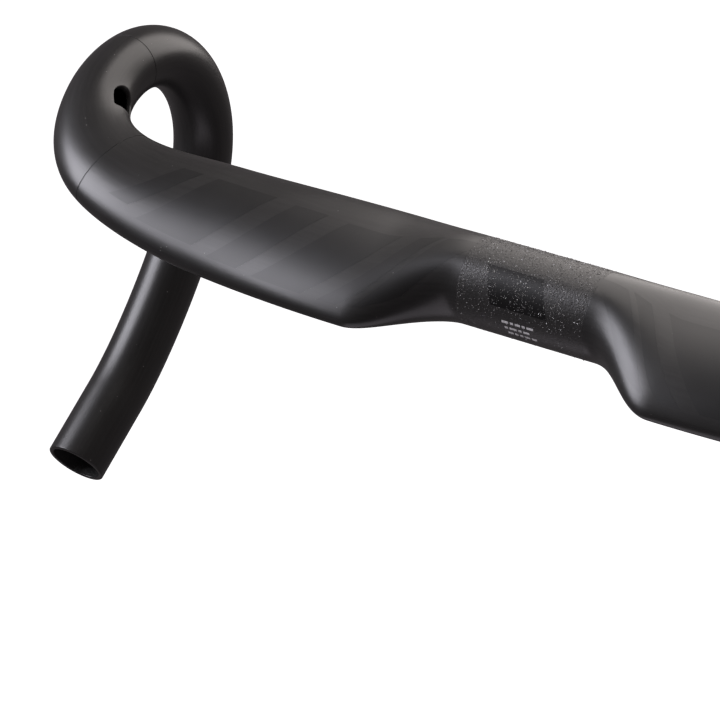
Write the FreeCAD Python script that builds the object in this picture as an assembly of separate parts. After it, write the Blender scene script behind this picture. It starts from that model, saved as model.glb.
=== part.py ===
import FreeCAD, Part
import math
import os

# Carbon road drop handlebar, bonded from five hollow tube sections. Millimetres.
# +X is the rider's right, +Y is forward, +Z is up. The origin is the centre of the stem clamp zone.
# Everything is built for the left side (negative X) and mirrored to make the right side.

Vector = FreeCAD.Vector

# ---- Driving dimensions -------------------------------------------------------------------------

CENTRE_TO_CENTRE = 420.0        # between the centrelines of the two drops
REACH = 80.0                    # clamp centre to the furthest forward point of the centreline
DROP = 125.0                    # clamp centre down to the centre of the drop's open end
CLAMP_DIAMETER = 31.8           # stem clamp standard
TUBE_DIAMETER = 23.8            # lever and tape standard, for the bends and drops

CLAMP_HALF = 26.0               # half the length of the round centre
NECK_LENGTH = 34.0              # along the centreline, from round centre to full wing
WING_WALL = 1.8
TUBE_WALL = 1.8
BAR_END_LENGTH = 32.0           # straight last stretch of each drop, bored for the end plug
RIM_BEVEL = 0.4

WING_JOINT = 179.0              # distance along the centreline of the wing-to-bend joint
HOOK_JOINT = 241.0              # and of the bend-to-drop joint
BOND_WIDTH = 0.4                # adhesive line between two sections
BOND_RECESS = 0.12              # how far it lies under the surface
SLEEVE_HALF = 15.0              # inner joint sleeve, each way from the joint
SLEEVE_WALL = 1.4
SLEEVE_GAP = 0.1                # glue clearance round a sleeve

COATING_HALF = 24.75            # half the length of the anti-slip band on the clamp zone
COATING_THICKNESS = 0.2
LINER_HALF = 28.0               # half the length of the clamp zone's inner reinforcement
LINER_WALL = 1.5

PORT_DISTANCE = 205.0           # flat edge of the cable entry port, along the centreline
PORT_ANGLE = 157.0              # round the section: 0 is the outer side, 90 the top, 180 the inner side
PORT_WIDTH = 10.2
PORT_LENGTH = 10.9
PORT_CORNER = 0.8
EXIT_X = 72.0                   # cable exit port, under the wing beside the neck
EXIT_Y = 0.0
EXIT_WIDTH = 7.0
EXIT_LENGTH = 15.0

ROUND_FROM = 300.0              # distance along the centreline where the tube becomes round again
TAIL = 22.4                     # how far back the last control point keeps the drop's end straight
OVERCUT = 1.0                   # how far a cutting shape runs past the skin
LOFT_STEP = 5.0                 # spacing of the sections that a tube is lofted through
NECK_STEP = 2.0                 # the same where the neck changes shape quickly
OUTLINE_POINTS = 36             # points round a wing section

# ---- Centreline ---------------------------------------------------------------------------------

HALF = CENTRE_TO_CENTRE / 2.0
BAR_END_SLOPE = 0.185           # how steeply the drop's last stretch points down
BAR_END_AXIS = Vector(0, -1, -BAR_END_SLOPE).normalize()
BAR_END_TOP = Vector(-HALF, -18.0, -DROP - BAR_END_LENGTH * BAR_END_AXIS.z)

# Control points of one cubic curve: straight wing, bend forward, hook, and the flattening drop.
CONTROL_POINTS = [
    Vector(0, 0, 0),
    Vector(-40, 0, 0),
    Vector(-100, 0, 0),
    Vector(-150, 0, 0),
    Vector(-186, 3.5, 2.2),
    Vector(-207, 25.5, 2.6),
    Vector(-HALF, REACH - 27.0, 1.5),
    Vector(-HALF, REACH - 3.7, -16.5),
    Vector(-HALF, REACH + 3.7, -49),
    Vector(-HALF, REACH - 13.5, -86),
    BAR_END_TOP - BAR_END_AXIS * TAIL,
    BAR_END_TOP,
]


def make_centreline():
    degree = 3
    spans = len(CONTROL_POINTS) - degree
    knots = list(range(spans + 1))
    ends = degree + 1
    multiplicities = [ends] + [1] * (spans - 1) + [ends]
    curve = Part.BSplineCurve()
    curve.buildFromPolesMultsKnots(CONTROL_POINTS, multiplicities, knots, False, degree)
    return curve


CENTRELINE = make_centreline()
CURVE_LENGTH = CENTRELINE.length()


def point_and_tangent(distance):
    parameter = CENTRELINE.parameterAtDistance(distance, CENTRELINE.FirstParameter)
    return CENTRELINE.value(parameter), CENTRELINE.tangent(parameter)[0]


def carried_frames():
    """Outward directions every millimetre, carried along the centreline without twisting."""
    outward = Vector(0, -1, 0)
    frames = []
    for distance in range(int(CURVE_LENGTH) + 1):
        tangent = point_and_tangent(distance)[1]
        outward = (outward - tangent * outward.dot(tangent)).normalize()
        frames.append(outward)
    return frames


OUTWARD = carried_frames()


def frame_at(distance):
    """Point, tangent, outward and upward directions at a distance along the centreline."""
    point, tangent = point_and_tangent(distance)
    whole = min(int(distance), len(OUTWARD) - 1)
    outward = OUTWARD[whole]
    outward = (outward - tangent * outward.dot(tangent)).normalize()
    return point, tangent, outward, tangent.cross(outward)

# ---- Cross-sections -----------------------------------------------------------------------------

# distance: width, height, shift outward (rearward on the wing), rise, thinning of the outer edge,
# and the exponent of the oval (2 is an ellipse, more is squarer)
SECTIONS = [
    (0.0, CLAMP_DIAMETER, CLAMP_DIAMETER, 0, 0, 0, 2.0),
    (CLAMP_HALF, CLAMP_DIAMETER, CLAMP_DIAMETER, 0, 0, 0, 2.0),
    (CLAMP_HALF + NECK_LENGTH, 52.3, 20.4, 10.6, 3.0, 0.30, 2.1),
    (130.0, 47.1, 24.4, 7.8, 0.4, 0.24, 2.1),
    (180.0, 36.0, 21.6, 5.6, 1.1, 0.08, 2.1),
    (220.0, 26.1, 23.1, 2.7, -0.2, 0.08, 2.1),
    (260.0, 24.5, 24.0, 0.9, 0.1, 0, 2.0),
    (ROUND_FROM, TUBE_DIAMETER, TUBE_DIAMETER, 0, 0, 0, 2.0),
    (500.0, TUBE_DIAMETER, TUBE_DIAMETER, 0, 0, 0, 2.0),
]


def node_slopes(xs, ys):
    """Slopes of a smooth curve through the values that never overshoots them."""
    slopes = [0.0] * len(xs)
    for i in range(1, len(xs) - 1):
        before = (ys[i] - ys[i - 1]) / (xs[i] - xs[i - 1])
        after = (ys[i + 1] - ys[i]) / (xs[i + 1] - xs[i])
        if before * after > 0:
            weight_before = 2 * (xs[i + 1] - xs[i]) + (xs[i] - xs[i - 1])
            weight_after = (xs[i + 1] - xs[i]) + 2 * (xs[i] - xs[i - 1])
            slopes[i] = (weight_before + weight_after) / (weight_before / before + weight_after / after)
    return slopes


DISTANCES = [row[0] for row in SECTIONS]
COLUMNS = [[row[column] for row in SECTIONS] for column in range(1, 7)]
SLOPES = [node_slopes(DISTANCES, column) for column in COLUMNS]


def section_values(distance):
    i = 0
    while distance > DISTANCES[i + 1]:
        i += 1
    step = DISTANCES[i + 1] - DISTANCES[i]
    t = (distance - DISTANCES[i]) / step
    values = []
    for column, slopes in zip(COLUMNS, SLOPES):
        value = column[i] * (2 * t**3 - 3 * t**2 + 1)
        value += column[i + 1] * (3 * t**2 - 2 * t**3)
        value += step * slopes[i] * (t**3 - 2 * t**2 + t)
        value += step * slopes[i + 1] * (t**3 - t**2)
        values.append(value)
    return values


def surface_point(distance, angle, inset=0.0):
    """Point on the skin, or inside it by inset, at an angle in radians round the section."""
    point, tangent, outward, upward = frame_at(distance)
    width, height, shift, rise, thinning, exponent = section_values(distance)
    across = math.copysign(abs(math.cos(angle)) ** (2 / exponent), math.cos(angle))
    up = math.copysign(abs(math.sin(angle)) ** (2 / exponent), math.sin(angle))
    along_outward = shift + (width / 2 - inset) * across
    along_upward = rise + (height / 2 - inset) * up * (1 - thinning * across)
    return point + outward * along_outward + upward * along_upward


def is_round(distance):
    return distance <= CLAMP_HALF or distance >= ROUND_FROM


def section_wire(distance, inset):
    if is_round(distance):
        point, tangent, outward, upward = frame_at(distance)
        radius = section_values(distance)[0] / 2 - inset
        circle = Part.Circle(point, tangent, radius)
        circle.XAxis = outward
        return Part.Wire(circle.toShape())
    angles = [2 * math.pi * i / OUTLINE_POINTS for i in range(OUTLINE_POINTS)]
    outline = Part.BSplineCurve()
    # the same even parameters for every section keep the lofted surface light
    outline.interpolate(
        Points=[surface_point(distance, angle, inset) for angle in angles],
        PeriodicFlag=True,
        Parameters=[i / OUTLINE_POINTS for i in range(OUTLINE_POINTS + 1)],
    )
    return Part.Wire(outline.toShape())


def evenly(start, end, step):
    count = max(2, round((end - start) / step))
    return [start + (end - start) * i / count for i in range(count + 1)]


def stations(start, end):
    wing_start = CLAMP_HALF + NECK_LENGTH
    if start >= wing_start:
        return evenly(start, end, LOFT_STEP)
    return evenly(start, wing_start, NECK_STEP) + evenly(wing_start, end, LOFT_STEP)[1:]


def solid_loft(start, end, inset):
    wires = [section_wire(distance, inset) for distance in stations(start, end)]
    return Part.makeLoft(wires, True, False)


def tube_section(start, end, outer_inset, wall):
    return solid_loft(start, end, outer_inset).cut(solid_loft(start, end, outer_inset + wall))


def round_tube(base, axis, length, outer_radius, inner_radius):
    outer = Part.makeCylinder(outer_radius, length, base, axis)
    return outer.cut(Part.makeCylinder(inner_radius, length, base, axis))


def to_right(shape):
    return shape.mirror(Vector(0, 0, 0), Vector(1, 0, 0))

# ---- Cable ports --------------------------------------------------------------------------------


def entry_port_cutter():
    """Prism with one flat end and one round end, through the inner wall of the bend."""
    centre, tangent, outward, upward = frame_at(PORT_DISTANCE)
    angle = math.radians(PORT_ANGLE)
    away = outward * math.cos(angle) + upward * math.sin(angle)
    side = tangent.cross(away)
    half = PORT_WIDTH / 2
    corner = PORT_CORNER

    def at(sideways, forward):
        return centre + side * sideways + tangent * forward

    straight = PORT_LENGTH - half
    diagonal = corner * (1 - math.sqrt(0.5))
    edges = [
        Part.LineSegment(at(-half + corner, 0), at(half - corner, 0)),
        Part.Arc(at(half - corner, 0), at(half - diagonal, diagonal), at(half, corner)),
        Part.LineSegment(at(half, corner), at(half, straight)),
        Part.Arc(at(half, straight), at(0, PORT_LENGTH), at(-half, straight)),
        Part.LineSegment(at(-half, straight), at(-half, corner)),
        Part.Arc(at(-half, corner), at(-half + diagonal, diagonal), at(-half + corner, 0)),
    ]
    face = Part.Face(Part.Wire([edge.toShape() for edge in edges]))
    return face.extrude(away * TUBE_DIAMETER)


def exit_port_cutter():
    """Slot with round ends, straight down through the wing's lower wall."""
    radius = EXIT_WIDTH / 2
    straight = EXIT_LENGTH - EXIT_WIDTH
    start = Vector(-EXIT_X - straight / 2, EXIT_Y, 0)
    down = Vector(0, 0, -1)
    depth = CLAMP_DIAMETER
    cutter = Part.makeBox(straight, EXIT_WIDTH, depth, start - Vector(0, radius, depth))
    for centre in (start, start + Vector(straight, 0, 0)):
        cutter = cutter.fuse(Part.makeCylinder(radius, depth, centre, down))
    return cutter

# ---- Sub-parts ----------------------------------------------------------------------------------


def make_wing_top():
    radius = CLAMP_DIAMETER / 2
    end = WING_JOINT - BOND_WIDTH / 2
    x_axis = Vector(1, 0, 0)
    start = Vector(-CLAMP_HALF, 0, 0)
    left = tube_section(CLAMP_HALF, end, 0, WING_WALL).cut(exit_port_cutter())
    centre = round_tube(start, x_axis, 2 * CLAMP_HALF, radius, radius - WING_WALL)
    band = round_tube(Vector(-COATING_HALF, 0, 0), x_axis, 2 * COATING_HALF,
                      radius + OVERCUT, radius - COATING_THICKNESS)
    return centre.cut(band).fuse([left, to_right(left)]).removeSplitter()


def make_clamp_coating():
    radius = CLAMP_DIAMETER / 2
    return round_tube(Vector(-COATING_HALF, 0, 0), Vector(1, 0, 0), 2 * COATING_HALF,
                      radius, radius - COATING_THICKNESS)


def make_clamp_liner():
    radius = CLAMP_DIAMETER / 2 - WING_WALL - SLEEVE_GAP
    return round_tube(Vector(-LINER_HALF, 0, 0), Vector(1, 0, 0), 2 * LINER_HALF,
                      radius, radius - LINER_WALL)


def make_bend():
    start = WING_JOINT + BOND_WIDTH / 2
    end = HOOK_JOINT - BOND_WIDTH / 2
    return tube_section(start, end, 0, TUBE_WALL).cut(entry_port_cutter())


def make_drop():
    start = HOOK_JOINT + BOND_WIDTH / 2
    curved = tube_section(start, CURVE_LENGTH, 0, TUBE_WALL)
    radius = TUBE_DIAMETER / 2
    base, axis = point_and_tangent(CURVE_LENGTH)
    bored = round_tube(base, axis, BAR_END_LENGTH, radius, radius - TUBE_WALL)
    tip = base + axis * BAR_END_LENGTH
    rim = tip - axis * RIM_BEVEL
    ring = Part.makeCylinder(radius + OVERCUT, RIM_BEVEL, rim, axis)
    cone = Part.makeCone(radius, radius - RIM_BEVEL, RIM_BEVEL, rim, axis)
    bored = bored.cut(ring.cut(cone))
    return curved.fuse(bored).removeSplitter()


def make_joint_sleeve(joint):
    return tube_section(joint - SLEEVE_HALF, joint + SLEEVE_HALF, TUBE_WALL + SLEEVE_GAP, SLEEVE_WALL)


def make_bond_line(joint):
    start = joint - BOND_WIDTH / 2
    end = joint + BOND_WIDTH / 2
    return tube_section(start, end, BOND_RECESS, TUBE_WALL + SLEEVE_GAP - BOND_RECESS)


def save(name, shape):
    if not shape.isValid():
        shape = shape.copy()
        shape.fix(1e-5, 1e-6, 1e-4)
    print(f"{name:32s} solids {len(shape.Solids)} faces {len(shape.Faces):3d} "
          f"volume {shape.Volume:9.1f} mm3 valid {shape.isValid()}")
    shape.exportStep(f"parts/{name}.step")


os.makedirs("parts", exist_ok=True)

save("wing_top", make_wing_top())
save("clamp_grip_coating", make_clamp_coating())
save("clamp_reinforcement_sleeve", make_clamp_liner())

LEFT_PIECES = {
    "bend": make_bend(),
    "drop": make_drop(),
    "wing_joint_sleeve": make_joint_sleeve(WING_JOINT),
    "hook_joint_sleeve": make_joint_sleeve(HOOK_JOINT),
    "wing_bond_line": make_bond_line(WING_JOINT),
    "hook_bond_line": make_bond_line(HOOK_JOINT),
}
for piece, left_shape in LEFT_PIECES.items():
    save(f"left_{piece}", left_shape)
    save(f"right_{piece}", to_right(left_shape))

FURTHEST = max(point_and_tangent(0.5 * i)[0].y for i in range(int(2 * CURVE_LENGTH)))
BASE, AXIS = point_and_tangent(CURVE_LENGTH)
TIP = BASE + AXIS * BAR_END_LENGTH
print(f"reach {FURTHEST:.2f}  drop {-TIP.z:.2f}  bar end {TIP}  axis {AXIS}  curve length {CURVE_LENGTH:.2f}")
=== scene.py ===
import math

import bmesh
import bpy
import numpy as np
from mathutils import Matrix, Quaternion, Vector


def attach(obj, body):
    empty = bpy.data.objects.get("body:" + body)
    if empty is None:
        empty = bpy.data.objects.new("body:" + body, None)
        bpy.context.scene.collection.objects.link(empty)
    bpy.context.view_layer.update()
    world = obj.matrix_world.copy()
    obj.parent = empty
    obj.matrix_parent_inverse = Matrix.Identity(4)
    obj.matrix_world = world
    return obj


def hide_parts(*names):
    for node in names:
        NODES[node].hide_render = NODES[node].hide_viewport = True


# Looks of a bare carbon drop handlebar. Shapes are worked out in millimetres, and make_mesh turns them
# into metres. Materials, lights, the floor and the camera are in metres.
# +X is the rider's right, +Y is forward, +Z is up, and the origin is the centre of the clamp zone.

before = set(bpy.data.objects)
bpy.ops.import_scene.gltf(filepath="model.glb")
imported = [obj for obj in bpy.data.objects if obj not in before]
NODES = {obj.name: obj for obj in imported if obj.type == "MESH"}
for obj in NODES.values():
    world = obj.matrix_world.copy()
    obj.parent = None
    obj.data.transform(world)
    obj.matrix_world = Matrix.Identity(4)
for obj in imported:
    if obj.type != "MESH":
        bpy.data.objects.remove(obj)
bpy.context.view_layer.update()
MM = 0.001

# ---- The handlebar's design, in millimetres -------------------------------------------------------

HALF_WIDTH = 210.0
REACH = 80.0
DROP = 125.0
CLAMP_DIAMETER = 31.8
TUBE_DIAMETER = 23.8
CLAMP_HALF = 26.0
NECK_LENGTH = 34.0
WALL = 1.8
BAR_END_LENGTH = 32.0
WING_JOINT = 179.0
HOOK_JOINT = 241.0
BOND_WIDTH = 0.4
COATING_HALF = 24.75
COATING_THICKNESS = 0.2

PORT_DISTANCE = 205.0
PORT_ANGLE = 157.0
PORT_WIDTH = 10.2
PORT_LENGTH = 10.9
PORT_CORNER = 0.8
EXIT_X = 72.0
EXIT_WIDTH = 7.0
EXIT_LENGTH = 15.0
EXIT_ANGLE = 247.0
PORT_ROUND = 0.45               # rounding of the ports' outer edges

BAR_END_SLOPE = 0.185
END_AXIS = np.array([0.0, -1.0, -BAR_END_SLOPE]) / math.hypot(1.0, BAR_END_SLOPE)
END_TOP = np.array([-HALF_WIDTH, -18.0, -DROP - BAR_END_LENGTH * END_AXIS[2]])

# control points of the left half's centreline, from the clamp to the start of the straight bar end
CONTROL_POINTS = np.array([
    (0, 0, 0),
    (-40, 0, 0),
    (-100, 0, 0),
    (-150, 0, 0),
    (-186, 3.5, 2.2),
    (-207, 25.5, 2.6),
    (-HALF_WIDTH, REACH - 27.0, 1.5),
    (-HALF_WIDTH, REACH - 3.7, -16.5),
    (-HALF_WIDTH, REACH + 3.7, -49),
    (-HALF_WIDTH, REACH - 13.5, -86),
    END_TOP - END_AXIS * 22.4,
    END_TOP,
], float)

# distance: width, height, shift outward, rise, thinning of the outer edge, exponent of the oval
SECTIONS = np.array([
    (0.0, CLAMP_DIAMETER, CLAMP_DIAMETER, 0, 0, 0, 2.0),
    (CLAMP_HALF, CLAMP_DIAMETER, CLAMP_DIAMETER, 0, 0, 0, 2.0),
    (CLAMP_HALF + NECK_LENGTH, 52.3, 20.4, 10.6, 3.0, 0.30, 2.1),
    (130.0, 47.1, 24.4, 7.8, 0.4, 0.24, 2.1),
    (180.0, 36.0, 21.6, 5.6, 1.1, 0.08, 2.1),
    (220.0, 26.1, 23.1, 2.7, -0.2, 0.08, 2.1),
    (260.0, 24.5, 24.0, 0.9, 0.1, 0, 2.0),
    (300.0, TUBE_DIAMETER, TUBE_DIAMETER, 0, 0, 0, 2.0),
    (500.0, TUBE_DIAMETER, TUBE_DIAMETER, 0, 0, 0, 2.0),
])


def centreline_table(steps=4000):
    """Points and tangents along the left half's centreline, evenly fine, with the straight bar end."""
    spans = len(CONTROL_POINTS) - 3
    knots = np.concatenate([[0] * 3, np.arange(spans + 1), [spans] * 3]).astype(float)
    t = np.linspace(0, spans, steps + 1)
    t[-1] -= 1e-9
    basis = [np.where((knots[i] <= t) & (t < knots[i + 1]), 1.0, 0.0) for i in range(len(knots) - 1)]
    for degree in range(1, 4):
        raised = []
        for i in range(len(basis) - 1):
            total = np.zeros_like(t)
            if knots[i + degree] > knots[i]:
                total += (t - knots[i]) / (knots[i + degree] - knots[i]) * basis[i]
            if knots[i + degree + 1] > knots[i + 1]:
                total += (knots[i + degree + 1] - t) / (knots[i + degree + 1] - knots[i + 1]) * basis[i + 1]
            raised.append(total)
        basis = raised
    curve = np.stack(basis, 1) @ CONTROL_POINTS
    tail = curve[-1] + END_AXIS * np.linspace(0, BAR_END_LENGTH, 200)[1:, None]
    points = np.vstack([curve, tail])
    lengths = np.linalg.norm(np.diff(points, axis=0), axis=1)
    distance = np.concatenate([[0], np.cumsum(lengths)])
    tangents = np.gradient(points, distance, axis=0)
    tangents /= np.linalg.norm(tangents, axis=1)[:, None]
    outward = np.zeros_like(points)
    direction = np.array([0.0, -1.0, 0.0])
    for i, tangent in enumerate(tangents):
        direction = direction - tangent * (direction @ tangent)
        direction /= np.linalg.norm(direction)
        outward[i] = direction
    return distance, points, tangents, outward


TABLE_S, TABLE_P, TABLE_T, TABLE_O = centreline_table()
BAR_LENGTH = TABLE_S[-1]


def column_at(table, s):
    """Values of a table of the centreline at distances s."""
    return np.stack([np.interp(s, TABLE_S, table[:, i]) for i in range(3)], -1)


def unit(v):
    return v / np.linalg.norm(v, axis=-1, keepdims=True)


def frames_at(s):
    """Points, tangents, outward and upward directions at distances s along the centreline."""
    tangent = unit(column_at(TABLE_T, s))
    outward = column_at(TABLE_O, s)
    outward = unit(outward - tangent * (outward * tangent).sum(-1, keepdims=True))
    return column_at(TABLE_P, s), tangent, outward, np.cross(tangent, outward)


def node_slopes(x, y):
    """Slopes at the rows of a column, so that the smooth curve through them never overshoots."""
    slopes = np.zeros(len(x))
    for i in range(1, len(x) - 1):
        before = (y[i] - y[i - 1]) / (x[i] - x[i - 1])
        after = (y[i + 1] - y[i]) / (x[i + 1] - x[i])
        if before * after > 0:
            weight_before = 2 * (x[i + 1] - x[i]) + (x[i] - x[i - 1])
            weight_after = (x[i + 1] - x[i]) + 2 * (x[i] - x[i - 1])
            slopes[i] = (weight_before + weight_after) / (weight_before / before + weight_after / after)
    return slopes


SLOPES = np.stack([node_slopes(SECTIONS[:, 0], SECTIONS[:, c]) for c in range(1, 7)], -1)


def section_at(s):
    """Width, height, shift, rise, thinning and exponent of the section at distances s."""
    s = np.asarray(s, float)
    i = np.clip(np.searchsorted(SECTIONS[:, 0], s, side="right") - 1, 0, len(SECTIONS) - 2)
    step = SECTIONS[i + 1, 0] - SECTIONS[i, 0]
    t = ((s - SECTIONS[i, 0]) / step)[..., None]
    step = step[..., None]
    low, high = SECTIONS[i, 1:], SECTIONS[i + 1, 1:]
    value = low * (2 * t**3 - 3 * t**2 + 1) + high * (3 * t**2 - 2 * t**3)
    value = value + step * (SLOPES[i] * (t**3 - 2 * t**2 + t) + SLOPES[i + 1] * (t**3 - t**2))
    return np.moveaxis(value, -1, 0)


def skin(s, angle, inset=0.0):
    """Points in mm on the left half's skin, or under it by inset, at distances s and angles round it."""
    s, angle, inset = np.broadcast_arrays(np.asarray(s, float), angle, inset)
    point, _, outward, upward = frames_at(s)
    width, height, shift, rise, thinning, exponent = section_at(s)
    cosine, sine = np.cos(angle), np.sin(angle)
    across = np.sign(cosine) * np.abs(cosine) ** (2 / exponent)
    up = np.sign(sine) * np.abs(sine) ** (2 / exponent)
    along_outward = shift + (width / 2 - inset) * across
    along_upward = rise + (height / 2 - inset) * up * (1 - thinning * across)
    return point + outward * along_outward[..., None] + upward * along_upward[..., None]


# ---- Meshes ---------------------------------------------------------------------------------------

OUTER, INNER = 0, 1
SUPPORT = 0.06                  # extra ring this far from an edge, so that the edge shades crisply
CLEAR_OF_RIM = 0.3              # the grid's rings keep this far from a rim
CLEAR_OF_LIP = 0.6              # and this far from the edge of the clamp's recess
LIP_ROUND = 0.03


class Shell:
    """Part of the bar's wall. Each vertex is a distance, an angle and a depth under the skin."""

    def __init__(self):
        self.where = []
        self.faces = []
        self.sides = []

    def add(self, s, angle, inset):
        s, angle, inset = np.broadcast_arrays(np.asarray(s, float), angle, inset)
        first = len(self.where)
        self.where.extend(zip(s.tolist(), angle.tolist(), inset.tolist()))
        return list(range(first, len(self.where)))

    def ring(self, s, around, inset):
        return self.add(s, np.arange(around) * 2 * math.pi / around, inset)

    def join(self, first, second, side, skip=()):
        """Quads between two closed rings of vertices, except in the columns to skip."""
        for j in range(len(first)):
            if j not in skip:
                k = (j + 1) % len(first)
                self.faces.append((first[j], first[k], second[k], second[j]))
                self.sides.append(side)

    def points(self):
        return skin(*np.array(self.where).T)

    def straightened(self):
        """Each vertex's place if the bar were pulled out straight, which the fibre pattern follows."""
        s, angle, inset = np.array(self.where).T
        width, height = section_at(s)[:2]
        return np.stack([s, (width / 2 - inset) * np.cos(angle), (height / 2 - inset) * np.sin(angle)], -1)


class Hole:
    """An opening through a shell: where its outline's plane lies, and the outline, grown by a margin."""

    def __init__(self, centre, first_axis, second_axis, outline, start_s, start_angle):
        self.centre = centre
        self.axes = np.stack([first_axis, second_axis])
        self.outline = outline
        self.start = (start_s, start_angle)

    def flat(self, s, angle, inset):
        """Where points of the shell lie in the outline's plane, looking along the cut."""
        return (skin(s, angle, inset) - self.centre) @ self.axes.T

    def edge(self, count, grow, inset):
        """Distances and angles of the outline at a depth under the skin."""
        wanted = self.outline(count, grow)
        s = np.full(count, float(self.start[0]))
        angle = np.full(count, float(self.start[1]))
        for _ in range(25):
            here = self.flat(s, angle, inset)
            along = (self.flat(s + 0.02, angle, inset) - here) / 0.02
            turned = (self.flat(s, angle + 0.002, inset) - here) / 0.002
            miss = wanted - here
            scale = along[:, 0] * turned[:, 1] - along[:, 1] * turned[:, 0]
            s = s + np.clip((miss[:, 0] * turned[:, 1] - miss[:, 1] * turned[:, 0]) / scale, -3, 3)
            step = (along[:, 0] * miss[:, 1] - along[:, 1] * miss[:, 0]) / scale
            angle = angle + np.clip(step, -0.3, 0.3)
        return s, angle


def evenly(path, count):
    """Points spaced evenly round a closed path."""
    path = np.array(path + [path[0]])
    lengths = np.concatenate([[0], np.cumsum(np.linalg.norm(np.diff(path, axis=0), axis=1))])
    wanted = np.linspace(0, lengths[-1], count, endpoint=False)
    return np.stack([np.interp(wanted, lengths, path[:, i]) for i in range(2)], -1)


def arc(x, y, radius, start, turn, count=24):
    angles = np.linspace(start, start + turn, count)
    return [(x + radius * math.cos(a), y + radius * math.sin(a)) for a in angles]


def port_outline(count, grow):
    """Points round a shape with one flat end and one round end."""
    half = PORT_WIDTH / 2
    quarter = math.pi / 2
    path = arc(0, PORT_LENGTH - half, half + grow, 0, math.pi, 60)
    path += arc(-half + PORT_CORNER, PORT_CORNER, PORT_CORNER + grow, 2 * quarter, quarter)
    path += arc(half - PORT_CORNER, PORT_CORNER, PORT_CORNER + grow, 3 * quarter, quarter)
    return evenly(path, count)


def slot_outline(count, grow):
    """Points round a slot with two round ends."""
    radius = EXIT_WIDTH / 2 + grow
    straight = (EXIT_LENGTH - EXIT_WIDTH) / 2
    path = arc(straight, 0, radius, -math.pi / 2, math.pi, 40)
    path += arc(-straight, 0, radius, math.pi / 2, math.pi, 40)
    return evenly(path, count)


def entry_port():
    centre, tangent, outward, upward = frames_at(PORT_DISTANCE)
    angle = math.radians(PORT_ANGLE)
    away = outward * math.cos(angle) + upward * math.sin(angle)
    middle = PORT_DISTANCE + PORT_LENGTH / 2
    return Hole(centre, np.cross(tangent, away), tangent, port_outline, middle, angle)


def exit_port():
    x_axis, y_axis = np.eye(3)[:2]
    centre = np.array([-EXIT_X, 0, 0])
    return Hole(centre, x_axis, y_axis, slot_outline, EXIT_X, math.radians(EXIT_ANGLE))


def block(stations, around, hole, inset):
    """The grid cells that a hole's patch takes up, as the first and last row and column."""
    s, angle = hole.edge(40, 1.6, inset)
    rows = (np.searchsorted(stations, s.min()) - 1, np.searchsorted(stations, s.max()))
    column = 2 * math.pi / around
    columns = (int(math.floor(angle.min() / column)), int(math.ceil(angle.max() / column)))
    return rows, columns


def block_loop(rows, columns):
    """The grid points round a block of cells, in order."""
    (top, bottom), (left, right) = rows, columns
    loop = [(top, j) for j in range(left, right)]
    loop += [(i, right) for i in range(top, bottom)]
    loop += [(bottom, j) for j in range(right, left, -1)]
    loop += [(i, left) for i in range(bottom, top, -1)]
    return loop


def patch(shell, grid, stations, around, rows, columns, hole, round_over, skin_depth, side):
    """Fills the block round a hole, down to the hole's edge. Returns the edge's vertices and their order."""
    loop = block_loop(rows, columns)
    count = len(loop)
    ids = [grid[i][j % around] for i, j in loop]
    loop_s = np.array([stations[i] for i, j in loop])
    loop_angle = np.array([j * 2 * math.pi / around for i, j in loop])
    edge_s, edge_angle = hole.edge(count, round_over, skin_depth)
    target = hole.flat(edge_s, edge_angle, skin_depth)
    border = hole.flat(loop_s, loop_angle, skin_depth)
    best = None
    for order in (1, -1):
        for shift in range(count):
            pick = (order * np.arange(count) + shift) % count
            error = ((target[pick] - border) ** 2).sum()
            if best is None or error < best[0]:
                best = (error, pick)
    pick = best[1]
    edge_s, edge_angle = edge_s[pick], edge_angle[pick]
    for t in (0.3, 0.56, 0.78, 0.93, 1.0):
        s = loop_s + (edge_s - loop_s) * t
        angle = loop_angle + (edge_angle - loop_angle) * t
        new = shell.add(s, angle, skin_depth)
        shell.join(ids, new, side)
        ids = new
    inward = 1 if side == OUTER else -1
    for turn in (0.3, 0.6, 1.0):
        a = turn * math.pi / 2
        depth = skin_depth + inward * round_over * (1 - math.cos(a))
        s, angle = hole.edge(count, round_over * (1 - math.sin(a)), depth)
        new = shell.add(s[pick], angle[pick], depth)
        shell.join(ids, new, side)
        ids = new
    return ids, pick


def rounded(s, radius, heading):
    """Distances and depths round a rim's outer edge, then its inner edge. Heading is 1 at a far end."""
    outer = [(s - heading * (radius + SUPPORT), 0.0)]
    outer += [(s - heading * radius * (1 - math.sin(a)), radius * (1 - math.cos(a)))
              for a in (0.0, 0.5, 1.05, math.pi / 2)]
    inner = [(distance, WALL - depth) for distance, depth in reversed(outer)]
    return outer + inner


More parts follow.
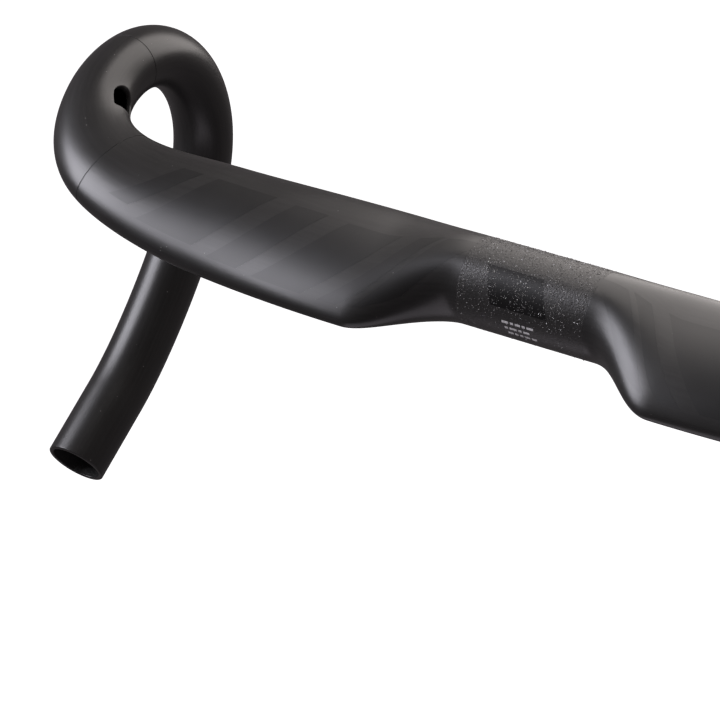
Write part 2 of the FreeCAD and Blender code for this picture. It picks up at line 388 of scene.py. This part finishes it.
def build_shell(start, end, around, rims, holes=(), step=1.5, recess=None):
    """A stretch of the bar's wall, with a radius for each rim. It is open at start if that is the middle."""
    first_rim, last_rim = rims
    shell = Shell()
    stations = list(np.linspace(start, end, max(2, round((end - start) / step)) + 1)[1:-1])
    first, last = rounded(start, first_rim, -1), rounded(end, last_rim, 1)
    closed = start > 0
    begin, finish = first[0][0], last[0][0]
    between = [s for s in stations if begin + CLEAR_OF_RIM < s < finish - CLEAR_OF_RIM]
    outer_s = [begin if closed else 0.0] + between + [finish]
    depths = [0.0] * len(outer_s)
    if recess:
        edge, depth = recess
        keep = [s for s in outer_s if s > edge + CLEAR_OF_LIP]
        low = [s for s in outer_s if s < edge - CLEAR_OF_LIP]
        lip = [(edge - SUPPORT, depth), (edge, depth), (edge, LIP_ROUND),
               (edge + LIP_ROUND, 0.0), (edge + LIP_ROUND + SUPPORT, 0.0)]
        outer_s = low + [s for s, _ in lip] + keep
        depths = [depth] * len(low) + [d for _, d in lip] + [0.0] * len(keep)
    outer = [shell.ring(s, around, d) for s, d in zip(outer_s, depths)]
    inner = [shell.ring(s, around, WALL) for s in outer_s]
    skip = {}
    for hole in holes:
        rows, columns = block(outer_s, around, hole, 0.0)
        for i in range(rows[0], rows[1]):
            skip[i] = {j % around for j in range(columns[0], columns[1])}
        top, pick = patch(shell, outer, outer_s, around, rows, columns, hole, PORT_ROUND, 0.0, OUTER)
        bottom, _ = patch(shell, inner, outer_s, around, rows, columns, hole, PORT_ROUND / 2, WALL, INNER)
        shell.join(top, bottom, INNER)
    for i in range(len(outer_s) - 1):
        shell.join(outer[i], outer[i + 1], OUTER, skip.get(i, ()))
        shell.join(inner[i], inner[i + 1], INNER, skip.get(i, ()))
    ends = [(last, outer[-1], inner[-1])]
    if closed:
        ends.append((first, outer[0], inner[0]))
    for profile, near, far in ends:
        ids = near
        for distance, depth in profile[1:-1]:
            new = shell.ring(distance, around, depth)
            shell.join(ids, new, OUTER)
            ids = new
        shell.join(ids, far, OUTER)
    return shell


def make_mesh(name, points, faces, sides=None, straightened=None, weld=False):
    mesh = bpy.data.meshes.new(name)
    mesh.from_pydata([tuple(p) for p in np.asarray(points) * MM], [], faces)
    if sides is not None:
        mesh.polygons.foreach_set("material_index", np.array(sides, np.int32))
    if straightened is not None:
        attribute = mesh.attributes.new("straightened", "FLOAT_VECTOR", "POINT")
        attribute.data.foreach_set("vector", (straightened * MM).astype(np.float32).ravel())
    work = bmesh.new()
    work.from_mesh(mesh)
    if weld:
        bmesh.ops.remove_doubles(work, verts=work.verts, dist=1e-6)
    bmesh.ops.recalc_face_normals(work, faces=work.faces)
    work.to_mesh(mesh)
    work.free()
    mesh.shade_smooth()
    piece = bpy.data.objects.new(name, mesh)
    bpy.context.scene.collection.objects.link(piece)
    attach(piece, "root")
    return piece


MIRROR = np.array([-1.0, 1.0, 1.0])


def shell_object(name, shell, mirrored):
    points, straight = shell.points(), shell.straightened()
    if mirrored:
        points, straight = points * MIRROR, straight * MIRROR
    return make_mesh(name, points, shell.faces, shell.sides, straight)


def whole_wing(name, half):
    """The half wing and its mirror image, joined at the bar's middle."""
    points, straight = half.points(), half.straightened()
    count = len(points)
    both = np.vstack([points, points * MIRROR])
    faces = half.faces + [tuple(i + count for i in reversed(face)) for face in half.faces]
    return make_mesh(name, both, faces, half.sides * 2, np.vstack([straight, straight * MIRROR]), weld=True)

# ---- Pieces ---------------------------------------------------------------------------------------

RIM_AT_WING_JOINT = 0.03
RIM_AT_HOOK_JOINT = 0.05
RIM_AT_END = 0.4
GAP = BOND_WIDTH / 2

SHELLS = {}
wing_half = build_shell(0, WING_JOINT - GAP, 96, (0.0, RIM_AT_WING_JOINT), [exit_port()],
                        recess=(COATING_HALF, COATING_THICKNESS))
SHELLS["wing_shell"] = whole_wing("wing_shell", wing_half)
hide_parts("wing_top")

bend = build_shell(WING_JOINT + GAP, HOOK_JOINT - GAP, 96, (RIM_AT_WING_JOINT, RIM_AT_HOOK_JOINT),
                   [entry_port()], step=1.2)
drop = build_shell(HOOK_JOINT + GAP, BAR_LENGTH, 72, (RIM_AT_HOOK_JOINT, RIM_AT_END))
for kind, half in (("bend", bend), ("drop", drop)):
    for side in ("left", "right"):
        name = f"{side}_{kind}_shell"
        SHELLS[name] = shell_object(name, half, mirrored=side == "right")
        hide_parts(f"{side}_{kind}")


def coating_ring():
    """The clamp's anti-slip band, a closed ring with softened edges that lies in the wing's recess."""
    around = 180
    soft = 0.06
    profile = [(COATING_HALF - soft - SUPPORT, 0.0), (COATING_HALF - soft, 0.0),
               (COATING_HALF - soft / 3, soft / 3), (COATING_HALF, soft), (COATING_HALF, COATING_THICKNESS)]
    xs = [(x, 0.0) for x in np.linspace(-COATING_HALF + 1, COATING_HALF - 1, 36)]
    loop = [(-x, d) for x, d in reversed(profile)] + xs + profile
    loop += [(x, COATING_THICKNESS) for x in np.linspace(COATING_HALF - 1, -COATING_HALF + 1, 12)]
    radius = CLAMP_DIAMETER / 2
    angles = np.arange(around) * 2 * math.pi / around
    points, faces = [], []
    for x, depth in loop:
        points += [(x, (radius - depth) * math.cos(a), (radius - depth) * math.sin(a)) for a in angles]
    for i in range(len(loop)):
        for j in range(around):
            k, n = (j + 1) % around, (i + 1) % len(loop)
            faces.append((i * around + j, i * around + k, n * around + k, n * around + j))
    piece = make_mesh("clamp_band", points, faces)
    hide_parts("clamp_grip_coating")
    return piece


BAND = coating_ring()


def on_bar(d, angle, inset=0.0):
    """Points on the whole bar's skin, at a signed distance from the middle: negative is the left half."""
    d, angle = np.broadcast_arrays(np.asarray(d, float), angle)
    points = skin(np.abs(d), angle, inset)
    return np.where((d > 0)[..., None], points * MIRROR, points)


def slabs(name, bars, proud, step=1.2):
    """Thin closed films that follow the skin. A bar is a start, width, two angles and a lengthwise lean."""
    sunk = 0.3
    points, faces = [], []
    for start, width, low, high, lean in bars:
        low, high = math.radians(low), math.radians(high)
        across = max(2, round(abs(width) / step))
        up = max(2, round((high - low) * CLAMP_DIAMETER / 2 / step))
        u, v = np.meshgrid(np.linspace(0, 1, across + 1), np.linspace(0, 1, up + 1), indexing="ij")
        d = start + width * u + lean * v
        angle = low + (high - low) * v
        first = len(points)
        layer = (across + 1) * (up + 1)
        for inset in (-proud, sunk):
            points.extend(on_bar(d, angle, inset).reshape(-1, 3))

        def vertex(i, j, below):
            return first + i * (up + 1) + j + below * layer

        for i in range(across):
            for j in range(up):
                for below in (0, 1):
                    corners = ((i, j), (i + 1, j), (i + 1, j + 1), (i, j + 1))
                    faces.append(tuple(vertex(a, b, below) for a, b in corners))
        rim = [(i, 0) for i in range(across)] + [(across, j) for j in range(up)]
        rim += [(i, up) for i in range(across, 0, -1)] + [(0, j) for j in range(up, 0, -1)]
        for (a, b), (c, e) in zip(rim, rim[1:] + rim[:1]):
            faces.append((vertex(a, b, 0), vertex(c, e, 0), vertex(c, e, 1), vertex(a, b, 1)))
    piece = make_mesh(name, points, faces)
    piece.data.set_sharp_from_angle(angle=math.radians(40))
    return piece


# slanted bars on the left wing: start, width, lowest and highest angle, and lean towards the middle
STRIPES = [
    (-168.0, 9.0, 52, 112, 20.0),
    (-154.0, 26.0, 42, 112, 22.0),
    (-121.0, 14.0, 36, 110, 24.0),
    (-100.0, 22.0, 34, 108, 26.0),
    (-71.0, 8.0, 34, 106, 26.0),
    (-57.0, 15.0, 36, 104, 22.0),
]


def wing_stripes(flip):
    """The left wing's bars if flip is 1, and their mirror image if it is -1."""
    return [(flip * start, flip * width, low, high, flip * lean)
            for start, width, low, high, lean in STRIPES]


STRIPE_PROUD = 0.04
LEFT_STRIPES = slabs("left_wing_stripes", wing_stripes(1), STRIPE_PROUD)
RIGHT_STRIPES = slabs("right_wing_stripes", wing_stripes(-1), STRIPE_PROUD)
CLAMP_STRIPE = slabs("clamp_stripe", [(-11.0, 22.0, 29, 78, -5.0)], proud=0.03)

# rows of dashes under the clamp's dark film: the row's angle, then the dashes' lengths
TICK_ROWS = [
    (10.5, (2.6, 1.2, 2.0, 1.2, 2.6)),
    (1.5, (1.2, 2.8, 1.2, 2.4)),
    (-7.5, (2.0, 1.2, 1.2, 2.0, 2.0)),
]
TICK_START = -6.6
TICK_ROW_SHIFT = 0.9
TICK_GAP = 0.7
TICK_HALF_ANGLE = 1.7


def tick_bars():
    """Rows of short dashes, which say nothing."""
    bars = []
    for row, (angle, lengths) in enumerate(TICK_ROWS):
        d = TICK_START + TICK_ROW_SHIFT * row
        for length in lengths:
            bars.append((d, length, angle - TICK_HALF_ANGLE, angle + TICK_HALF_ANGLE, 0.0))
            d += length + TICK_GAP
    return bars


TICKS = slabs("clamp_ticks", tick_bars(), proud=0.035, step=0.6)

GRAIN_MARGIN = 0.4              # bare strip at each end of the band
GRAIN_RADII = (0.07, 0.15)
RARE_GROWTH = 0.13              # how much larger a few of the grains are
SPARSE = 0.07                   # share of grains that the underside keeps
DENSE_FROM = 0.42               # sine of the angle where the dense cover starts
DENSE_EDGE = 9                  # how sharply it starts


def grain_field(count=4200, seed=7):
    """Hard grains half sunk in the clamp band: dense over the top, sparse towards the lower rear."""
    random = np.random.RandomState(seed)
    octahedron = np.array([(1, 0, 0), (0, 1, 0), (-1, 0, 0), (0, -1, 0), (0, 0, 1), (0, 0, -1)], float)
    sides = [(0, 1, 4), (1, 2, 4), (2, 3, 4), (3, 0, 4), (1, 0, 5), (2, 1, 5), (3, 2, 5), (0, 3, 5)]
    points, faces = [], []
    placed = 0
    while placed < count:
        x = random.uniform(-COATING_HALF + GRAIN_MARGIN, COATING_HALF - GRAIN_MARGIN)
        angle = random.uniform(-math.pi, math.pi)
        patchy = 0.75 + 0.25 * math.sin(0.5 * x + 2.0 * angle)
        cover = 1 / (1 + math.exp(-(math.sin(angle) - DENSE_FROM) * DENSE_EDGE))
        density = patchy * (SPARSE + (1 - SPARSE) * cover)
        chance = random.uniform()
        size = random.uniform(*GRAIN_RADII) + RARE_GROWTH * random.uniform() ** 6
        shape = octahedron * random.uniform(0.7, 1.25, 3) + random.uniform(-0.25, 0.25, (6, 3))
        turn = np.linalg.qr(random.normal(size=(3, 3)))[0]
        if chance > density:
            continue
        out = np.array([0, -math.cos(angle), math.sin(angle)])
        centre = np.array([x, 0, 0]) + out * (CLAMP_DIAMETER / 2 + 0.15 * size)
        first = len(points)
        points.extend(centre + size * shape @ turn)
        faces.extend(tuple(first + i for i in side) for side in sides)
        placed += 1
    piece = make_mesh("clamp_grains", points, faces)
    piece.data.shade_flat()
    return piece


GRAINS = grain_field()

# ---- Materials ------------------------------------------------------------------------------------


class Material:
    """A node material, built by naming nodes and joining them."""

    def __init__(self, name, **sockets):
        self.data = bpy.data.materials.new(name)
        self.data.use_nodes = True
        self.tree = self.data.node_tree
        self.shader = self.tree.nodes["Principled BSDF"]
        for socket, value in sockets.items():
            self.shader.inputs[socket.replace("_", " ")].default_value = value

    def node(self, kind, inputs=None, **settings):
        node = self.tree.nodes.new("ShaderNode" + kind)
        for key, value in settings.items():
            setattr(node, key, value)
        for key, value in (inputs or {}).items():
            self.feed(node.inputs[key], value)
        return node

    def feed(self, socket, value):
        if isinstance(value, bpy.types.NodeSocket):
            self.tree.links.new(value, socket)
        else:
            socket.default_value = value

    def set(self, socket, value):
        self.feed(self.shader.inputs[socket], value)

    def place(self, scale=(1, 1, 1), attribute=None):
        """Coordinates in metres, times a scale, from the object or from a mesh attribute."""
        if attribute:
            source = self.node("Attribute", attribute_name=attribute).outputs["Vector"]
        else:
            source = self.node("TexCoord").outputs["Object"]
        return self.node("Mapping", {"Vector": source, "Scale": scale}).outputs["Vector"]

    def noise(self, vector, scale, detail=2.0, roughness=0.5, distortion=0.0):
        inputs = {"Vector": vector, "Scale": scale, "Detail": detail, "Roughness": roughness,
                  "Distortion": distortion}
        return self.node("TexNoise", inputs).outputs["Fac"]

    def spots(self, vector, scale, randomness=1.0):
        """Distance to the nearest of many scattered points, and that point's own random colour."""
        inputs = {"Vector": vector, "Scale": scale, "Randomness": randomness}
        node = self.node("TexVoronoi", inputs, feature="F1")
        return node.outputs["Distance"], node.outputs["Color"]

    def ramp(self, value, low, high, out_low=0.0, out_high=1.0):
        inputs = {"Value": value, "From Min": low, "From Max": high, "To Min": out_low, "To Max": out_high}
        return self.node("MapRange", inputs).outputs["Result"]

    def math(self, operation, first, second=0.0):
        node = self.node("Math", operation=operation)
        self.feed(node.inputs[0], first)
        self.feed(node.inputs[1], second)
        return node.outputs[0]

    def mix(self, factor, first, second):
        node = self.node("Mix", data_type="RGBA")
        for name, value in (("Factor", factor), ("A", first), ("B", second)):
            wanted = ("VALUE",) if name == "Factor" else ("RGBA",)
            socket = [s for s in node.inputs if s.name == name and s.type in wanted][0]
            self.feed(socket, value)
        return [s for s in node.outputs if s.type == "RGBA"][0]

    def bump(self, height, strength, distance, normal=None):
        inputs = {"Height": height, "Strength": strength, "Distance": distance}
        if normal is not None:
            inputs["Normal"] = normal
        return self.node("Bump", inputs).outputs["Normal"]


def grey(value, warmth=0.0):
    """A grey, or one a little warmer, as a colour."""
    return (value * (1 + warmth), value, value * (1 - warmth), 1.0)


def laminate_material():
    """Satin clear coat over dark carbon: faint lengthwise fibres, fine dust and handling marks."""
    material = Material("satin_carbon", IOR=1.5, Specular_IOR_Level=0.5)
    fibre = material.noise(material.place((40, 900, 900), "straightened"), 1.0, 3.0, 0.6)
    cloud = material.noise(material.place(), 30.0, 3.0, 0.6)
    grain = material.noise(material.place(), 2600.0, 2.0, 0.6)
    distance, colour = material.spots(material.place(), 420.0)
    pick = material.node("SeparateColor", {"Color": colour}).outputs["Red"]
    dust = material.math("MULTIPLY", material.ramp(distance, 0.10, 0.04), material.ramp(pick, 0.86, 0.90))
    base = material.mix(material.ramp(fibre, 0.3, 0.7), grey(0.010, 0.03), grey(0.016, 0.03))
    base = material.mix(dust, base, grey(0.16, 0.03))
    material.set("Base Color", base)
    broad = material.ramp(cloud, 0.3, 0.7, 0.315, 0.36)
    fine = material.ramp(grain, 0.3, 0.7, -0.03, 0.03)
    rough = material.math("ADD", broad, fine)
    material.set("Roughness", material.math("ADD", rough, material.math("MULTIPLY", dust, 0.3)))
    ripple = material.noise(material.place(), 900.0, 2.0, 0.5)
    normal = material.bump(ripple, 0.12, 0.00005)
    normal = material.bump(grain, 0.15, 0.00003, normal)
    normal = material.bump(dust, 0.3, 0.00006, normal)
    material.set("Normal", normal)
    return material.data


def inside_material():
    """Raw inner face of the moulded laminate, rough and wrinkled by the bladder."""
    material = Material("raw_inner_laminate", Specular_IOR_Level=0.3)
    wrinkle = material.noise(material.place((60, 500, 500), "straightened"), 1.0, 4.0, 0.65, 1.5)
    grain = material.noise(material.place(), 1500.0, 3.0, 0.6)
    material.set("Base Color", material.mix(wrinkle, grey(0.006), grey(0.03, 0.02)))
    material.set("Roughness", material.ramp(grain, 0.3, 0.7, 0.5, 0.75))
    material.set("Normal", material.bump(grain, 0.5, 0.0002, material.bump(wrinkle, 0.8, 0.0006)))
    return material.data


def sleeve_material():
    """Wrapped laminate of the inner sleeves, sanded for the glue."""
    material = Material("sleeve_laminate", Specular_IOR_Level=0.35)
    fibre = material.noise(material.place((80, 600, 600)), 1.0, 3.0, 0.6)
    grain = material.noise(material.place(), 1800.0, 3.0, 0.6)
    material.set("Base Color", material.mix(fibre, grey(0.006), grey(0.022, 0.02)))
    material.set("Roughness", material.ramp(grain, 0.3, 0.7, 0.45, 0.65))
    material.set("Normal", material.bump(grain, 0.4, 0.0001))
    return material.data


def adhesive_material():
    """Black epoxy in the joints, a little lumpy where it was wiped."""
    material = Material("cured_epoxy", Specular_IOR_Level=0.5)
    grain = material.noise(material.place(), 2200.0, 3.0, 0.6)
    lump = material.noise(material.place(), 400.0, 2.0)
    material.set("Base Color", material.mix(lump, grey(0.003), grey(0.010)))
    material.set("Roughness", material.ramp(grain, 0.3, 0.7, 0.35, 0.6))
    material.set("Normal", material.bump(lump, 0.5, 0.0001))
    return material.data


def band_material():
    """Clamp band: lacquer with a rough, pitted surface under the grains."""
    material = Material("band_lacquer", Specular_IOR_Level=0.5)
    grain = material.noise(material.place(), 1600.0, 3.0, 0.6)
    distance = material.spots(material.place(), 1500.0)[0]
    material.set("Base Color", material.mix(grain, grey(0.008, 0.03), grey(0.020, 0.05)))
    material.set("Roughness", material.ramp(grain, 0.3, 0.7, 0.30, 0.48))
    material.set("Normal", material.bump(distance, 0.4, 0.00012, material.bump(grain, 0.35, 0.0001)))
    return material.data


def stripe_material(name, darkest, lightest, shine):
    """Graphic bars under the clear coat, blacker than the laminate."""
    material = Material(name, Specular_IOR_Level=shine)
    cloud = material.noise(material.place(), 40.0, 3.0, 0.6)
    grain = material.noise(material.place(), 2600.0, 2.0, 0.6)
    material.set("Base Color", material.mix(cloud, grey(darkest), grey(lightest)))
    broad = material.ramp(cloud, 0.3, 0.7, 0.34, 0.38)
    fine = material.ramp(grain, 0.3, 0.7, -0.02, 0.02)
    material.set("Roughness", material.math("ADD", broad, fine))
    ripple = material.noise(material.place(), 900.0, 2.0, 0.5)
    material.set("Normal", material.bump(grain, 0.1, 0.00003, material.bump(ripple, 0.1, 0.00005)))
    return material.data


def tick_material():
    """White pad-printed ink, thin and slightly worn."""
    material = Material("white_ink", Specular_IOR_Level=0.4)
    wear = material.noise(material.place(), 1800.0, 3.0, 0.7)
    material.set("Base Color", material.mix(material.ramp(wear, 0.35, 0.5), grey(0.28), grey(0.62)))
    material.set("Roughness", material.ramp(wear, 0.3, 0.7, 0.5, 0.65))
    material.set("Normal", material.bump(wear, 0.3, 0.00004))
    return material.data


def grain_material():
    """Clear hard grains, each a little different, with a real shine; the lighter ones carry painted glints,
    a pale base colour that stands in for glints.
    """
    material = Material("hard_grain_painted_glint", IOR=1.7, Specular_IOR_Level=0.75)
    tone = material.noise(material.place(), 1200.0, 1.0)
    chip = material.noise(material.place(), 6000.0, 2.0)
    # painted glints: the noise picks grains whose base colour is raised towards white, which stands in for
    # glints
    material.set("Base Color", material.mix(material.ramp(tone, 0.42, 0.60), grey(0.02), grey(0.45, 0.02)))
    material.set("Roughness", material.ramp(chip, 0.3, 0.7, 0.08, 0.25))
    material.set("Normal", material.bump(chip, 0.2, 0.00003))
    return material.data


SATIN = laminate_material()
INSIDE = inside_material()
for piece in SHELLS.values():
    piece.data.materials.append(SATIN)
    piece.data.materials.append(INSIDE)
BAND.data.materials.append(band_material())

BLACK = stripe_material("black_graphic", 0.003, 0.0055, 0.5)
BLACKEST = stripe_material("black_band_graphic", 0.0008, 0.0016, 0.35)
for piece, material in ((LEFT_STRIPES, BLACK), (RIGHT_STRIPES, BLACK), (CLAMP_STRIPE, BLACKEST),
                        (TICKS, tick_material()), (GRAINS, grain_material())):
    piece.data.materials.append(material)

KEPT = {"sleeve": sleeve_material(), "bond_line": adhesive_material()}
for name, node in NODES.items():
    for ending, material in KEPT.items():
        if name.endswith(ending):
            node.data.materials.clear()
            node.data.materials.append(material)

# ---- Floor, light and camera ----------------------------------------------------------------------

FLOOR_DEPTH = 1.2               # far enough below that the bar's shadow is spread to nothing
FLOOR_HALF = 40.0               # wide enough that a low view still has floor behind the bar
CENTRE = Vector((-0.046, -0.046, 0.0))          # what the two softboxes are turned to
SHOULDER = Vector((0.047, -0.012, 0.016))       # the right neck, which the shoulder card lights

COOL = (0.93, 0.92, 1.0)
WARM = (1.0, 0.94, 0.91)
FLOOR_TINT = (0.99, 0.91, 1.0)
WORLD_TINT = (1.0, 0.90, 0.94, 1)
WORLD_STRENGTH = 0.13
LEFT_DISTANCE = 0.821
FRONT_DISTANCE = 0.457
SHOULDER_DISTANCE = 0.45
FLOOR_CARD_PLACE = Vector((0.05, -1.655, -0.2))

LENS = 160.98
SENSOR = 36.0
CLIP = (0.05, 120.0)
CAMERA_ANGLES = (44.602, 46.8918, -18.4404)     # azimuth, elevation and roll, in degrees
CAMERA_PLACE = Vector((0.480224, -0.580024, 0.801193))


def floor():
    """A pale floor that shines evenly by itself, and that neither lights the bar nor shows in it."""
    mesh = bpy.data.meshes.new("floor")
    work = bmesh.new()
    bmesh.ops.create_grid(work, x_segments=8, y_segments=8, size=FLOOR_HALF)
    work.to_mesh(mesh)
    work.free()
    piece = bpy.data.objects.new("floor", mesh)
    piece.location = (0, 0, -FLOOR_DEPTH)
    bpy.context.scene.collection.objects.link(piece)
    material = Material("pale_floor", Roughness=0.9, Emission_Strength=1.0)
    soft = material.noise(material.place(), 2.0)
    tone = material.mix(soft, grey(0.97), grey(1.0))
    material.set("Base Color", tone)
    material.set("Emission Color", tone)
    mesh.materials.append(material.data)
    piece.visible_glossy = False
    piece.visible_diffuse = False


def toward(azimuth, elevation):
    """Unit vector to a direction: azimuth 0 is -Y, where the rider is, and 90 is +X. Elevation 90 is up."""
    a, e = math.radians(azimuth), math.radians(elevation)
    return Vector((math.sin(a) * math.cos(e), -math.cos(a) * math.cos(e), math.sin(e)))


def softbox(name, place, facing, size, radiance, colour=(1, 1, 1), turn=0.0, spread=180):
    """A rectangular light of an even radiance. Facing is the unit vector from what it lights to it.

    A spread under 180 degrees narrows the beam, and focus undoes how much that strengthens it."""
    light = bpy.data.lights.new(name, "AREA")
    light.shape = "RECTANGLE"
    light.size, light.size_y = size
    half = math.radians(spread) / 2
    focus = math.tan(half) / (math.tan(half) - half) if spread < 180 else 1.0
    light.energy = radiance / focus * math.pi * size[0] * size[1]
    light.color = colour
    light.spread = math.radians(spread)
    lamp = bpy.data.objects.new(name, light)
    lamp.rotation_mode = "QUATERNION"
    lamp.rotation_quaternion = facing.to_track_quat("Z", "Y") @ Quaternion((0, 0, 1), math.radians(turn))
    lamp.location = place
    lamp.visible_camera = False
    bpy.context.scene.collection.objects.link(lamp)
    return lamp


def soft_world():
    world = bpy.data.worlds.new("studio")
    bpy.context.scene.world = world
    world.use_nodes = True
    background = world.node_tree.nodes["Background"].inputs
    background["Color"].default_value = WORLD_TINT
    background["Strength"].default_value = WORLD_STRENGTH


def studio():
    soft_world()
    left, front, shoulder = toward(279.8, 32.3), toward(184.0, 23.2), toward(278, 46)
    softbox("left_softbox", CENTRE + left * LEFT_DISTANCE, left, size=(0.424, 0.512), radiance=10.2,
            colour=COOL, turn=-16.7)
    softbox("front_softbox", CENTRE + front * FRONT_DISTANCE, front, size=(0.375, 0.927), radiance=2.9,
            colour=WARM, turn=-12.6)
    softbox("shoulder_card", SHOULDER + shoulder * SHOULDER_DISTANCE, shoulder, size=(0.12, 0.12),
            radiance=20.0, colour=COOL, spread=30)
    softbox("floor_card", FLOOR_CARD_PLACE, Vector((0, 0, -1)), size=(0.354, 3.063), radiance=0.8,
            colour=FLOOR_TINT)


def camera():
    data = bpy.data.cameras.new("camera")
    data.lens, data.sensor_width = LENS, SENSOR
    data.clip_start, data.clip_end = CLIP
    view = bpy.data.objects.new("camera", data)
    bpy.context.scene.collection.objects.link(view)
    azimuth, elevation, roll = (math.radians(a) for a in CAMERA_ANGLES)
    right = Vector((math.cos(azimuth), math.sin(azimuth), 0))
    ahead = -toward(math.degrees(azimuth), math.degrees(elevation))
    up = right.cross(ahead)
    rolled_right = right * math.cos(roll) + up * math.sin(roll)
    rolled_up = up * math.cos(roll) - right * math.sin(roll)
    place = Matrix((rolled_right, rolled_up, -ahead)).transposed().to_4x4()
    place.translation = CAMERA_PLACE
    view.matrix_world = place
    bpy.context.scene.camera = view


floor()
studio()
camera()
bpy.context.scene.view_settings.view_transform = "Standard"
